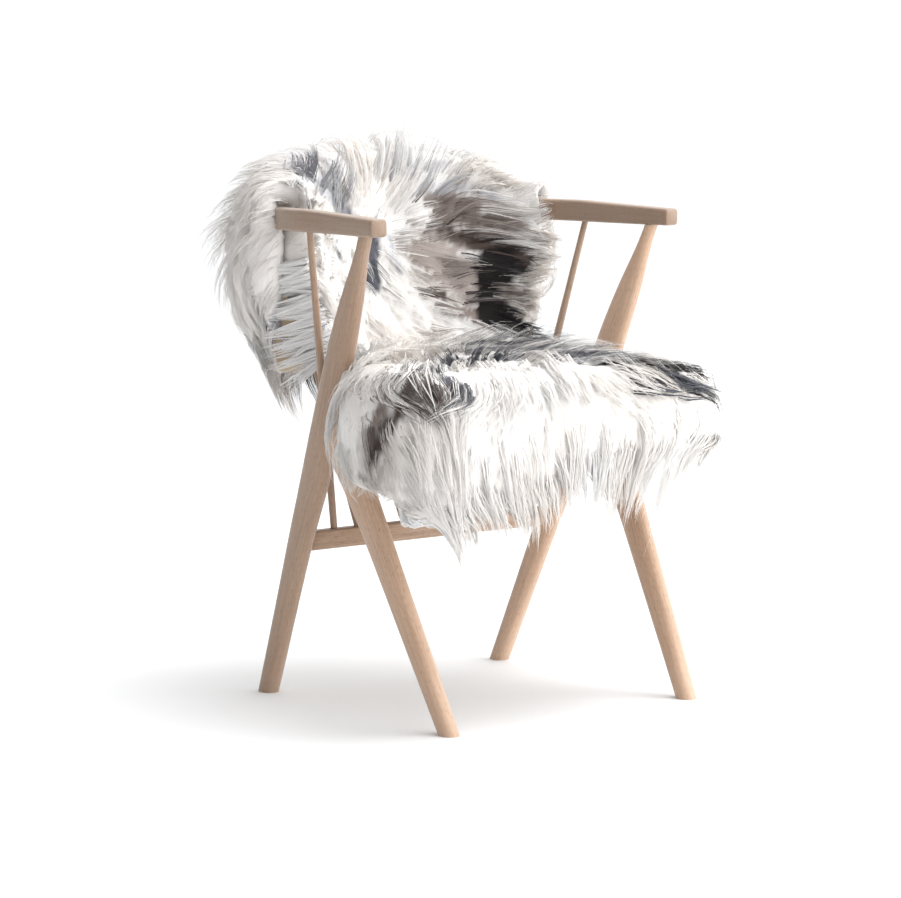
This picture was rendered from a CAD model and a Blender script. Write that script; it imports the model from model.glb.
"""A long-haired sheepskin draped over a plain wooden spindle-back armchair.

Units are metres, +Z is up and the seat faces -Y. "near" is the -X side and "far" the +X side.
Sizes are drawn about the middle of the seat, and PLAN_SHIFT moves them to the place of the solids.
"""
import functools
import math

import bmesh
import bpy
import numpy as np
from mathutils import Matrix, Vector, noise


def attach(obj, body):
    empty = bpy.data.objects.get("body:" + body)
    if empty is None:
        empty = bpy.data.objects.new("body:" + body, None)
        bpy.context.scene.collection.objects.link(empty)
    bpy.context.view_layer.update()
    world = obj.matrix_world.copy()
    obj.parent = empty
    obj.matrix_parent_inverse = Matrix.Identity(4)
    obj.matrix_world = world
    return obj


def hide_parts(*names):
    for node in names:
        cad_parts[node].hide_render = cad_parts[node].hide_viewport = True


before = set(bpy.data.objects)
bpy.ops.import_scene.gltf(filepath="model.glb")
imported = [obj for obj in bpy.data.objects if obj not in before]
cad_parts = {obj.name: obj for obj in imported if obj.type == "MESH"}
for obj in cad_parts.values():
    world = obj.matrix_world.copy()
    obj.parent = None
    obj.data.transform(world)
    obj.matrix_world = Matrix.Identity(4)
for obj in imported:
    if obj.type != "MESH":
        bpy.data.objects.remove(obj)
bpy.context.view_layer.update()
PLAN_SHIFT = np.array((0.0214, -0.0032, 0.0))

# The pelt, row by row from the front hem to the back hem. y and z are its middle, on the flesh
# side; on the seat y runs on past the front edge as if the pelt still lay flat, and the pelt
# hangs there. near, far: half its width. reach: how far its ends lie in front of its middle, as
# it follows the curved back, and wrap: the angle that half of it turns through. fall: how far its
# ends lie below its middle. lean: direction of the wool, with 90 straight up, 0 into the seat and
# 180 away from it. wool: its depth. flare near, flare far: how far it reaches past the side edges.
PELT_ROWS = (
    # y, z, near, far, reach, wrap, fall, lean, wool, flare near, flare far
    (-0.368, 0.4530, 0.312, 0.222, 0.000, 1, 0.000, 90, 0.034, 0.016, 0.012),
    (-0.348, 0.4530, 0.336, 0.250, 0.000, 1, 0.000, 90, 0.044, 0.020, 0.014),
    (-0.320, 0.4530, 0.350, 0.268, 0.000, 1, 0.000, 90, 0.050, 0.024, 0.016),
    (-0.287, 0.4530, 0.353, 0.276, 0.000, 1, 0.000, 90, 0.053, 0.026, 0.018),
    (-0.252, 0.4530, 0.354, 0.280, 0.000, 1, 0.000, 90, 0.055, 0.026, 0.018),
    (-0.215, 0.4530, 0.350, 0.282, 0.000, 1, 0.000, 90, 0.055, 0.026, 0.018),
    (-0.180, 0.4530, 0.346, 0.280, 0.000, 1, 0.000, 90, 0.056, 0.024, 0.018),
    (-0.150, 0.4530, 0.337, 0.274, 0.000, 1, 0.000, 90, 0.058, 0.020, 0.014),
    (-0.132, 0.4540, 0.323, 0.264, 0.000, 1, 0.000, 90, 0.060, 0.016, 0.010),
    (-0.115, 0.4540, 0.298, 0.250, 0.000, 1, 0.000, 90, 0.061, 0.010, 0.006),
    (-0.100, 0.4540, 0.260, 0.236, 0.000, 1, 0.000, 90, 0.062, 0.004, 0.003),
    (-0.088, 0.4535, 0.226, 0.224, 0.000, 2, 0.000, 90, 0.063, 0.000, 0.000),
    (-0.055, 0.4509, 0.222, 0.222, 0.004, 5, 0.000, 90, 0.064, 0.000, 0.000),
    (-0.010, 0.4507, 0.214, 0.214, 0.014, 14, 0.000, 86, 0.066, 0.000, 0.000),
    (0.035, 0.4507, 0.199, 0.199, 0.030, 30, 0.000, 78, 0.067, 0.000, 0.000),
    (0.075, 0.4507, 0.190, 0.190, 0.045, 46, 0.000, 68, 0.067, 0.002, 0.002),
    (0.108, 0.4520, 0.180, 0.180, 0.055, 56, 0.000, 57, 0.066, 0.006, 0.006),
    (0.130, 0.4630, 0.1745, 0.1745, 0.066, 61, 0.000, 46, 0.066, 0.010, 0.012),
    (0.147, 0.4900, 0.1785, 0.1785, 0.074, 64, 0.000, 34, 0.066, 0.016, 0.020),
    (0.168, 0.5350, 0.190, 0.190, 0.090, 64, 0.000, 24, 0.066, 0.022, 0.028),
    (0.190, 0.5850, 0.2015, 0.2015, 0.107, 64, 0.000, 18, 0.066, 0.028, 0.034),
    (0.2105, 0.635, 0.2130, 0.2130, 0.124, 64, 0.000, 20, 0.066, 0.030, 0.036),
    (0.2228, 0.676, 0.2118, 0.2118, 0.126, 64, 0.002, 32, 0.066, 0.030, 0.038),
    (0.2230, 0.710, 0.2112, 0.2112, 0.127, 64, 0.0105, 54, 0.065, 0.028, 0.036),
    (0.2256, 0.7282, 0.2136, 0.2136, 0.1275, 64, 0.0121, 72, 0.063, 0.026, 0.032),
    (0.2380, 0.7300, 0.2262, 0.2262, 0.1337, 64, 0.0121, 90, 0.062, 0.024, 0.026),
    (0.2504, 0.7282, 0.2388, 0.2388, 0.1400, 64, 0.0121, 125, 0.060, 0.022, 0.022),
    (0.2526, 0.710, 0.2408, 0.2408, 0.1420, 64, 0.0105, 156, 0.066, 0.022, 0.022),
    (0.2530, 0.665, 0.2410, 0.2410, 0.1425, 64, 0.000, 184, 0.084, 0.022, 0.020),
    (0.2530, 0.620, 0.2410, 0.2410, 0.1420, 64, 0.000, 190, 0.086, 0.018, 0.016),
    (0.2525, 0.582, 0.2390, 0.2390, 0.1400, 63, 0.000, 192, 0.078, 0.014, 0.012),
    (0.2510, 0.556, 0.2340, 0.2340, 0.1350, 62, 0.000, 192, 0.054, 0.010, 0.008),
    (0.2500, 0.540, 0.2290, 0.2290, 0.1310, 61, 0.000, 187, 0.036, 0.006, 0.004),
    (0.2480, 0.524, 0.2220, 0.2220, 0.1250, 59, 0.000, 182, 0.033, 0.004, 0.002),
)
# The first rows lie on the seat. The pelt is flat out to these lines at the seat's edges, and past
# them it bends down and hangs, steeper in front than at the sides.
SEAT_ROWS = 15
PELT_FLAT_HALF = 0.2375
PELT_FLAT_FRONT = -0.252
PELT_BEND = 0.010
SIDE_HANG = math.radians(66)
FRONT_HANG = math.radians(78)
# Where the flaps of the front hem end, and those of the back hem begin and would be full
FRONT_LOBE_END = 0.12
BACK_LOBE_START = 0.865
BACK_LOBE_END = 1.06
# How much shallower the wool is at the side edges, and from which share of the half width on
WOOL_EDGE = 0.42
WOOL_EDGE_START = 0.70
# How much shallower it is at the hems, within which share of the skin's length, and how far it
# hangs over
WOOL_HEM = 0.30
WOOL_HEM_LENGTH = 0.035
HEM_OVERHANG = 0.018
# Flaps of the hems: which hem, place across, width, how much lower it hangs
HEM_LOBES = (
    ("front", -0.90, 0.24, 0.014),
    ("front", -0.60, 0.42, 0.042),
    ("front", 1.00, 0.36, -0.014),
    ("back", -0.54, 0.34, 0.086),
    ("back", 0.00, 0.42, 0.020),
    ("back", 0.46, 0.34, 0.066),
)
# Tufts and hollows of the wool: place across, table row, width, length in rows, height
SWELLS = (
    (-0.60, 25, 0.30, 2.5, -0.012),
    (0.34, 25, 0.16, 2.0, 0.008),
    (0.05, 26, 0.10, 1.5, 0.006),
    (0.98, 25, 0.26, 4.0, -0.024),
    (-0.86, 28, 0.26, 1.6, 0.015),
    (1.00, 13.5, 0.30, 1.6, 0.028),
    (0.55, 16, 0.30, 2.0, 0.008),
    (-0.95, 5, 0.25, 4.0, 0.006),
    (0.85, 4, 0.35, 4.0, -0.016),
)
# Lumps of the fleece: their height, width and length, and how fast they change from front to back
LUMP = 0.0060
LUMP_WIDE = 0.045
LUMP_LONG = 0.120
LUMP_CHANGE = 6
# Smaller lumps on them, half as high, to the metre
FINE_LUMPS = 31
LUMP_SHIFT = (7.1, 3.3, 1.9)
# Short steps across and along the skin that show which way is out past its edges
STEP_ACROSS = 0.02
STEP_ALONG = 0.006

TABLE = np.array(PELT_ROWS)
PELT_COLUMNS = 8
WOOL, FLARE_NEAR, FLARE_FAR = 8, 9, 10
# How far along the skin each row lies, as a share of its length
STATIONS = np.concatenate(([0.0], np.cumsum(np.hypot(np.diff(TABLE[:, 0]), np.diff(TABLE[:, 1])))))
PELT_LENGTH = float(STATIONS[-1])
STATIONS = STATIONS / PELT_LENGTH
# Half the skin's width where it is laid flat to place colours, locks and hairs
PELT_HALF_WIDTH = 0.24

# Fine grid on which the skin is worked out once
GRID_ACROSS = 88
GRID_ALONG = 220


def ease(value, low, high):
    """0 below low, 1 above high, and smooth between."""
    t = min(max((value - low) / (high - low), 0.0), 1.0)
    return t * t * (3 - 2 * t)


def between_rows(places, table, place):
    """A table's columns at a place, by a cubic between its rows that never overshoots them."""
    index = min(max(int(np.searchsorted(places, place, side="right")) - 1, 0), len(places) - 2)
    steps = np.diff(places)
    slopes = np.diff(table, axis=0) / steps[:, None]
    tangents = []
    for row in (index, index + 1):
        if row in (0, len(places) - 1):
            tangents.append(slopes[min(row, len(slopes) - 1)])
            continue
        before, after = slopes[row - 1], slopes[row]
        product = before * after
        total = np.where(product > 0, before + after, 1.0)
        tangents.append(np.where(product > 0, 2 * product / total, 0.0))
    step = steps[index]
    t = (place - places[index]) / step
    return (
        table[index] * (1 + 2 * t) * (1 - t) ** 2
        + tangents[0] * step * t * (1 - t) ** 2
        + table[index + 1] * t * t * (3 - 2 * t)
        + tangents[1] * step * t * t * (t - 1)
    )


@functools.lru_cache(maxsize=None)
def pelt_row(v):
    """The pelt table's columns at v."""
    return between_rows(STATIONS, TABLE, v)


def over_the_edges(x, y):
    """Where a flat point of the pelt lies as it hangs over the seat's edges, and its normal."""
    past_x = max(abs(x) - PELT_FLAT_HALF, 0.0)
    past_y = max(PELT_FLAT_FRONT - y, 0.0)
    past = math.hypot(past_x, past_y)
    if past < 1e-9:
        return Vector((x, y, 0.0)), Vector((0.0, 0.0, 1.0))
    away = Vector((math.copysign(past_x, x), -past_y, 0.0)) / past
    hang = SIDE_HANG + (FRONT_HANG - SIDE_HANG) * (past_y / past) ** 2
    angle = min(past / PELT_BEND, hang)
    straight = max(past - PELT_BEND * hang, 0.0)
    out = PELT_BEND * math.sin(angle) + straight * math.cos(hang)
    down = PELT_BEND * (1 - math.cos(angle)) + straight * math.sin(hang)
    held = Vector((math.copysign(min(abs(x), PELT_FLAT_HALF), x), max(y, PELT_FLAT_FRONT), 0.0))
    point = held + away * out + Vector((0.0, 0.0, -down))
    return point, away * math.sin(angle) + Vector((0.0, 0.0, math.cos(angle)))


def hem_drop(hem, u):
    """How much lower than the table's row a hem hangs at u."""
    return sum(
        drop * math.exp(-(((u - place) / width) ** 4))
        for which, place, width, drop in HEM_LOBES
        if which == hem
    )


def pelt_point(u, v):
    """Flesh side of the pelt and the direction of the wool there.

    u runs from -1 at the near side to 1 at the far side, v from 0 at the front hem to 1 at the
    back hem.
    """
    y, z, near, far, reach, wrap, fall, lean = (float(value) for value in pelt_row(v)[:PELT_COLUMNS])
    turn = math.radians(wrap)
    x = (near if u < 0 else far) * math.sin(turn * u) / math.sin(turn)
    y -= reach * (1 - math.cos(turn * u)) / (1 - math.cos(turn))
    inward = Vector((-math.sin(turn * u), -math.cos(turn * u), 0.0))
    lean = math.radians(lean)
    if v <= STATIONS[SEAT_ROWS - 1]:
        y -= hem_drop("front", u) * (1 - ease(v, 0.0, FRONT_LOBE_END))
        flat, up = over_the_edges(x, y)
        way = (up * math.sin(lean) + inward * math.cos(lean)).normalized()
        return flat + Vector((0.0, 0.0, z)), way
    drop = hem_drop("back", u) * ease(v, BACK_LOBE_START, BACK_LOBE_END)
    way = inward * math.cos(lean) + Vector((0.0, 0.0, math.sin(lean)))
    return Vector((x, y, z - fall * u * u - drop)), way


def near_hem(v):
    """1 at either hem, and 0 further along the skin."""
    return 1 - ease(min(v, 1 - v), 0.0, WOOL_HEM_LENGTH)


def wool_depth(u, v):
    """Depth of the wool over the pelt's point (u, v)."""
    row = float(np.interp(v, STATIONS, range(len(STATIONS))))
    depth = float(pelt_row(v)[WOOL])
    for across, along, width, length, height in SWELLS:
        depth += height * math.exp(-(((u - across) / width) ** 2) - ((row - along) / length) ** 2)
    edge = 1 - WOOL_EDGE * ease(abs(u), WOOL_EDGE_START, 1.0)
    return depth * edge * (1 - WOOL_HEM * near_hem(v))


def wool_tip(u, v):
    """Where the tips of the wool over the pelt's point (u, v) lie."""
    point, way = pelt_point(u, v)
    flare = float(pelt_row(v)[FLARE_NEAR if u < 0 else FLARE_FAR]) * ease(abs(u), WOOL_EDGE_START, 1.0)
    sideways = (point - pelt_point(u - math.copysign(STEP_ACROSS, u), v)[0]).normalized()
    endways = (point - pelt_point(u, v + math.copysign(STEP_ALONG, 0.5 - v))[0]).normalized()
    across, along = point.x / LUMP_WIDE, v * PELT_LENGTH / LUMP_LONG
    lump = noise.noise(Vector((across, along, point.y * LUMP_CHANGE + LUMP_SHIFT[2])))
    lump += 0.5 * noise.noise(point * FINE_LUMPS + Vector(LUMP_SHIFT))
    depth = wool_depth(u, v) + LUMP * lump
    return point + way * depth + sideways * flare + endways * HEM_OVERHANG * near_hem(v)


def survey():
    """The pelt's flesh side and the wool's tips on the fine grid, a row for each place along."""
    us = np.linspace(-1, 1, GRID_ACROSS + 1).tolist()
    vs = np.linspace(0, 1, GRID_ALONG + 1).tolist()
    pelt = np.array([[pelt_point(u, v)[0] for u in us] for v in vs])
    tips = np.array([[wool_tip(u, v) for u in us] for v in vs])
    return pelt + PLAN_SHIFT, tips + PLAN_SHIFT


PELT, TIPS = survey()
ACROSS = np.gradient(TIPS, 2 / GRID_ACROSS, axis=1)
ALONG = np.gradient(TIPS, 1 / GRID_ALONG, axis=0)
CELL_AREA = np.linalg.norm(np.cross(ACROSS, ALONG), axis=2)


def sample(grid, u, v):
    """Reads a grid between its points, at many places at once. Past an edge it gives the edge."""
    x = (np.clip(u, -1, 1) + 1) / 2 * GRID_ACROSS
    y = np.clip(v, 0, 1) * GRID_ALONG
    i = np.minimum(x.astype(int), GRID_ACROSS - 1)
    j = np.minimum(y.astype(int), GRID_ALONG - 1)
    s, t = (x - i)[..., None], (y - j)[..., None]
    low = grid[j, i] * (1 - s) + grid[j, i + 1] * s
    high = grid[j + 1, i] * (1 - s) + grid[j + 1, i + 1] * s
    return low * (1 - t) + high * t


def unit(vectors):
    """The vectors at length 1."""
    return vectors / np.linalg.norm(vectors, axis=-1, keepdims=True)


# Past the pelt's side edges the wool turns round them, by up to this many degrees at each place
EDGE_TURN_PLACES = (0.00, 0.07, 0.11, 0.42, 0.48, 0.70, 0.75, 0.79, 0.82, 0.94, 0.98)
NEAR_EDGE_TURNS = (50, 55, 100, 90, 90, 90, 100, 100, 170, 165, 165)
FAR_EDGE_TURNS = (150, 150, 120, 100, 35, 35, 60, 100, 170, 165, 110)
EDGE_SLACK = 0.010
# Past a hem the wool runs on the way the skin runs this far in from it, and drops this much for
# each metre that it runs on
HEM_PLACE = 0.03
HEM_SAG = 0.8


def in_wool(u, v, share):
    """Points at a share of the wool's depth.

    Past the side edges they turn round the edge and run on, and past the hems they hang down.
    """
    root = sample(PELT, u, v)
    deep = (sample(TIPS, u, v) - root) * share[..., None]
    height = np.linalg.norm(deep, axis=-1, keepdims=True)
    across = sample(ACROSS, u, v)
    aside = (np.abs(u - np.clip(u, -1, 1)) * np.linalg.norm(across, axis=-1))[..., None]
    near, far = (np.interp(v, EDGE_TURN_PLACES, turns) for turns in (NEAR_EDGE_TURNS, FAR_EDGE_TURNS))
    most = np.radians(np.where(u < 0, near, far))[..., None]
    turn = np.minimum(aside / (height + EDGE_SLACK), most)
    left_over = aside - turn * (height + EDGE_SLACK)
    outward = unit(across) * np.sign(u)[..., None]
    turned = deep * np.cos(turn) + outward * height * np.sin(turn)
    turned += left_over * (outward * np.cos(turn) - deep / (height + 1e-6) * np.sin(turn))
    along = np.linalg.norm(sample(ALONG, u, v), axis=-1) * (v - np.clip(v, 0, 1))
    on = unit(sample(ALONG, u, np.clip(v, HEM_PLACE, 1 - HEM_PLACE))) * along[..., None]
    on[..., 2] -= HEM_SAG * np.hypot(on[..., 0], on[..., 1])
    return root + turned + on


# Natural fleece colours, as sRGB
WHITE_WOOL = "F1F0EF"
CREAM_WOOL = "E9E3DD"
ASH_WOOL = "C9CACD"
SILVER_WOOL = "B9B9BE"
STEEL_WOOL = "85868C"
SLATE_WOOL = "53545B"
SAND_WOOL = "ABA09A"
TAUPE_WOOL = "8B7F79"
UMBER_WOOL = "574B46"
BLACK_WOOL = "1F1A1B"

# Strokes of colour: from one place across and along to another, half width, colour, strength
STROKES = (
    ((-0.80, 0.766), (-0.36, 0.734), 0.014, ASH_WOOL, 1.0),
    ((-0.32, 0.722), (-0.14, 0.690), 0.013, STEEL_WOOL, 1.0),
    ((-0.22, 0.706), (-0.14, 0.690), 0.006, SLATE_WOOL, 0.8),
    ((-0.07, 0.680), (-0.19, 0.612), 0.017, SLATE_WOOL, 1.4),
    ((-0.50, 0.668), (-0.46, 0.655), 0.008, STEEL_WOOL, 0.9),
    ((0.08, 0.672), (0.10, 0.630), 0.009, SILVER_WOOL, 0.9),
    ((0.15, 0.756), (0.55, 0.764), 0.006, SILVER_WOOL, 0.8),
    ((0.40, 0.738), (0.80, 0.738), 0.010, SILVER_WOOL, 0.7),
    ((0.42, 0.722), (0.72, 0.720), 0.008, TAUPE_WOOL, 1.2),
    ((0.48, 0.706), (0.90, 0.694), 0.014, TAUPE_WOOL, 1.0),
    ((0.48, 0.682), (0.97, 0.648), 0.011, UMBER_WOOL, 1.3),
    ((0.34, 0.650), (0.66, 0.600), 0.036, SAND_WOOL, 1.1),
    ((0.26, 0.590), (0.42, 0.584), 0.007, UMBER_WOOL, 1.2),
    ((0.42, 0.562), (0.70, 0.548), 0.010, TAUPE_WOOL, 1.1),
    ((0.82, 0.644), (0.80, 0.550), 0.017, BLACK_WOOL, 1.9),
    ((0.86, 0.640), (1.00, 0.626), 0.008, BLACK_WOOL, 1.1),
    ((0.82, 0.556), (1.08, 0.520), 0.015, BLACK_WOOL, 1.7),
    ((0.88, 0.590), (1.10, 0.580), 0.012, SAND_WOOL, 0.8),
    ((0.25, 0.500), (0.55, 0.480), 0.020, SAND_WOOL, 0.9),
    ((0.40, 0.450), (0.80, 0.430), 0.020, BLACK_WOOL, 1.6),
    ((0.50, 0.390), (0.84, 0.340), 0.016, BLACK_WOOL, 1.4),
    ((-0.05, 0.330), (0.66, 0.320), 0.042, SLATE_WOOL, 1.0),
    ((-0.30, 0.220), (0.55, 0.210), 0.036, SLATE_WOOL, 0.9),
    ((-0.62, 0.170), (-0.30, 0.200), 0.012, STEEL_WOOL, 0.9),
    ((0.10, 0.155), (0.60, 0.150), 0.016, SLATE_WOOL, 1.0),
    ((0.12, 0.126), (0.52, 0.112), 0.006, BLACK_WOOL, 1.3),
    ((0.52, 0.112), (0.86, 0.086), 0.005, BLACK_WOOL, 1.3),
    ((-0.70, 0.110), (-0.60, 0.106), 0.006, SLATE_WOOL, 1.0),
    ((-0.70, 0.114), (-0.80, 0.130), 0.011, UMBER_WOOL, 1.0),
    ((-0.79, 0.130), (-0.90, 0.156), 0.012, UMBER_WOOL, 1.0),
    ((-0.74, 0.153), (-0.86, 0.172), 0.009, TAUPE_WOOL, 0.9),
    ((-0.62, 0.965), (-0.30, 1.000), 0.022, STEEL_WOOL, 0.9),
    ((-0.30, 0.858), (-0.18, 0.870), 0.012, SAND_WOOL, 0.6),
    ((0.20, 0.850), (0.40, 0.930), 0.026, SILVER_WOOL, 0.9),
    ((0.60, 0.820), (0.70, 0.880), 0.020, TAUPE_WOOL, 0.9),
)


def linear(code):
    """An sRGB hex colour as linear numbers."""
    values = np.array([int(code[place : place + 2], 16) / 255 for place in (0, 2, 4)])
    return np.where(values <= 0.04045, values / 12.92, ((values + 0.055) / 1.055) ** 2.4)


def laid_flat(u, v):
    """Places on the skin in metres, as if it lay flat."""
    return np.stack((u * PELT_HALF_WIDTH, v * PELT_LENGTH), axis=-1)


# How far each next seed moves the noise
SEED_SHIFT = (3.17, 1.73, 0.61)


def noises(points, seed):
    """Smooth noise from about -1 to 1 at each of the points."""
    points = np.column_stack((points, np.zeros(len(points))))
    shift = Vector([seed * step for step in SEED_SHIFT])
    return np.array([noise.noise(Vector(point) + shift) for point in points.tolist()])


# Where along a streak the noise is read, and what brings the sum back to about -1 to 1
STREAK_STEPS = (-1.0, -0.5, 0.0, 0.5, 1.0)
STREAK_SUM = 2.4


def streaks(u, v, seed, width, run):
    """Noise about as wide as width, drawn out along the way the wool is combed, by run each way."""
    place, way = laid_flat(u, v), combing(u, v)
    taps = [noises((place + way * run * step) / width, seed) for step in STREAK_STEPS]
    return np.sum(taps, axis=0) / STREAK_SUM


FLEECE_SEED = 3
# Patches of cream in the white, to the metre
CREAM_PATCHES = 12
# Streaks that fray the strokes: width, length each way, and how strongly they count
FINE_STREAKS = (0.0045, 0.016, 0.55)
RAGGED_STREAKS = (0.012, 0.022, 0.35)
# How wide a stroke spreads and how fast it fades, and the cover from which its colour shows and
# the further cover that makes it full
STROKE_SPREAD = 1.25
STROKE_FADE = 2.2
COVER_START = 0.28
COVER_RANGE = 0.52


def nearness(place, first, last, half_width):
    """1 on the line from first to last, fading to 0 beside it."""
    start, end = laid_flat(*np.array(first)), laid_flat(*np.array(last))
    line = end - start
    part = np.clip((place - start) @ line / (line @ line), 0, 1)
    apart = np.linalg.norm(place - start - part[:, None] * line, axis=1)
    return np.exp(-((apart / (STROKE_SPREAD * half_width)) ** STROKE_FADE))


def fleece_colour(u, v):
    """Natural colour of the wool that grows at each place: white, with strokes of grey and black."""
    place = laid_flat(u, v)
    cream = np.clip(0.5 + 0.6 * noises(place * CREAM_PATCHES, FLEECE_SEED), 0, 1)
    fine_width, fine_run, fine_part = FINE_STREAKS
    ragged_width, ragged_run, ragged_part = RAGGED_STREAKS
    fraying = fine_part * streaks(u, v, FLEECE_SEED + 1, fine_width, fine_run)
    fraying += ragged_part * streaks(u, v, FLEECE_SEED + 2, ragged_width, ragged_run)
    colour = linear(WHITE_WOOL) + (linear(CREAM_WOOL) - linear(WHITE_WOOL)) * cream[:, None]
    for first, last, half_width, code, strength in STROKES:
        near = nearness(place, first, last, half_width)
        cover = strength * near + fraying * np.sqrt(near)
        amount = np.clip((cover - COVER_START) / COVER_RANGE, 0, 1)
        colour = colour + (linear(code) - colour) * amount[:, None]
    return colour


# Place across and along, reach that way, then the way the tips point: across, along, and how
# strongly this row counts
COMBING = (
    (0.00, 0.050, 2.00, 0.060, 0.00, -1.00, 1.5),
    (-0.80, 0.150, 0.45, 0.060, -0.60, -0.80, 1.5),
    (0.10, 0.160, 0.40, 0.050, 0.10, -1.00, 1.0),
    (0.55, 0.130, 0.50, 0.030, 1.00, -0.35, 1.6),
    (0.75, 0.220, 0.35, 0.080, 0.90, -0.50, 1.0),
    (-0.40, 0.290, 0.40, 0.080, -0.60, -0.70, 1.0),
    (0.30, 0.330, 0.40, 0.060, 0.70, -0.50, 1.0),
    (-0.70, 0.430, 0.40, 0.080, -0.50, -0.80, 1.0),
    (0.50, 0.470, 0.50, 0.060, 0.95, -0.40, 1.2),
    (-0.65, 0.570, 0.35, 0.060, -0.30, -0.95, 1.2),
    (0.00, 0.580, 0.30, 0.060, 0.40, -0.90, 1.0),
    (0.60, 0.600, 0.45, 0.070, 0.95, -0.30, 1.4),
    (-0.20, 0.640, 0.25, 0.030, -0.05, -1.00, 1.2),
    (0.60, 0.690, 0.45, 0.040, 1.00, -0.05, 1.4),
    (-0.65, 0.690, 0.30, 0.040, -0.80, -0.30, 1.2),
    (-0.35, 0.735, 0.25, 0.026, -0.25, 1.00, 1.4),
    (0.15, 0.735, 0.22, 0.030, 0.20, 1.00, 1.2),
    (0.60, 0.750, 0.30, 0.026, 0.80, 0.65, 1.4),
    (-0.40, 0.785, 0.35, 0.020, -0.35, 1.00, 1.2),
    (0.50, 0.790, 0.45, 0.020, 0.40, 1.00, 1.2),
    (-0.85, 0.830, 0.30, 0.060, -0.55, 0.85, 1.2),
    (0.00, 0.900, 2.00, 0.080, 0.00, 1.00, 2.0),
)


COMB_SEED = 5
# The combing strays by up to about this angle, in ripples so many to the metre, the finer ones
# half as strong
STRAY = 0.55
RIPPLES = 11
FINE_RIPPLES = 34


def combing(u, v, stray=STRAY):
    """Unit way across and along in which the tips point at each place."""
    way = np.zeros((len(u), 2))
    for across, along, wide, long, right, back, weight in COMBING:
        near = np.exp(-(((u - across) / wide) ** 2) - ((v - along) / long) ** 2)
        way += (weight * near)[:, None] * np.array((right, back))
    way /= np.linalg.norm(way, axis=1, keepdims=True) + 1e-9
    place = laid_flat(u, v)
    fine = noises(place * FINE_RIPPLES, COMB_SEED + 1)
    turn = stray * (noises(place * RIPPLES, COMB_SEED) + 0.5 * fine)
    c, s = np.cos(turn), np.sin(turn)
    return np.stack((way[:, 0] * c - way[:, 1] * s, way[:, 0] * s + way[:, 1] * c), axis=-1)


def scatter(count, seed, low=(-1.0, 0.0), high=(1.0, 1.0)):
    """Places spread evenly over the skin's area between two corners, as u and v.

    They are dealt out cell by cell, to and fro across the skin, each one apart from the last.
    """
    rng = np.random.default_rng(seed)
    us = np.linspace(-1, 1, GRID_ACROSS + 1)[:-1] + 1 / GRID_ACROSS
    vs = np.linspace(0, 1, GRID_ALONG + 1)[:-1] + 0.5 / GRID_ALONG
    inside = ((us >= low[0]) & (us <= high[0]))[None, :] & ((vs >= low[1]) & (vs <= high[1]))[:, None]
    area = np.where(inside, CELL_AREA[:-1, :-1], 0.0)
    area[1::2] = area[1::2, ::-1]
    total = np.cumsum(area.ravel())
    wanted = (np.arange(count) + rng.random(count)) / count * total[-1]
    cell = np.searchsorted(total, wanted)
    row, column = np.divmod(np.minimum(cell, total.size - 1), GRID_ACROSS)
    column = np.where(row % 2 == 1, GRID_ACROSS - 1 - column, column)
    u = us[column] + (rng.random(count) - 0.5) * 2 / GRID_ACROSS
    v = vs[row] + (rng.random(count) - 0.5) / GRID_ALONG
    return u, v


def add_node(tree, kind, settings=None, inputs=None):
    """Adds a node, sets its properties, and gives each named or numbered input a value or a link."""
    node = tree.nodes.new(kind)
    for name, value in (settings or {}).items():
        setattr(node, name, value)
    for name, value in (inputs or {}).items():
        if isinstance(value, bpy.types.NodeSocket):
            tree.links.new(value, node.inputs[name])
        else:
            node.inputs[name].default_value = value
    return node


def new_material(name):
    """An empty material and its node tree."""
    made = bpy.data.materials.new(name)
    made.use_nodes = True
    made.node_tree.nodes.clear()
    return made, made.node_tree


# Share of the light that goes through a strand
THROUGH = 0.20


def wool_fibre():
    """Washed long wool: soft fibres with a faint silky gloss, coloured as they grew.

    A fifth of the light goes through them, which keeps white wool pale in its own shade.
    """
    made, tree = new_material("wool_fibre")
    tint = add_node(tree, "ShaderNodeAttribute", {"attribute_name": "tint"})
    surface = add_node(tree, "ShaderNodeBsdfPrincipled", inputs={
        "Base Color": tint.outputs["Color"],
        "Roughness": 0.60,
        "Specular IOR Level": 0.25,
        "Sheen Weight": 0.15,
        "Sheen Roughness": 0.5,
    })
    through = add_node(tree, "ShaderNodeBsdfTranslucent", inputs={"Color": tint.outputs["Color"]})
    both = add_node(tree, "ShaderNodeMixShader", inputs={
        "Fac": THROUGH,
        1: surface.outputs["BSDF"],
        2: through.outputs["BSDF"],
    })
    add_node(tree, "ShaderNodeOutputMaterial", inputs={"Surface": both.outputs["Shader"]})
    return made


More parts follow.
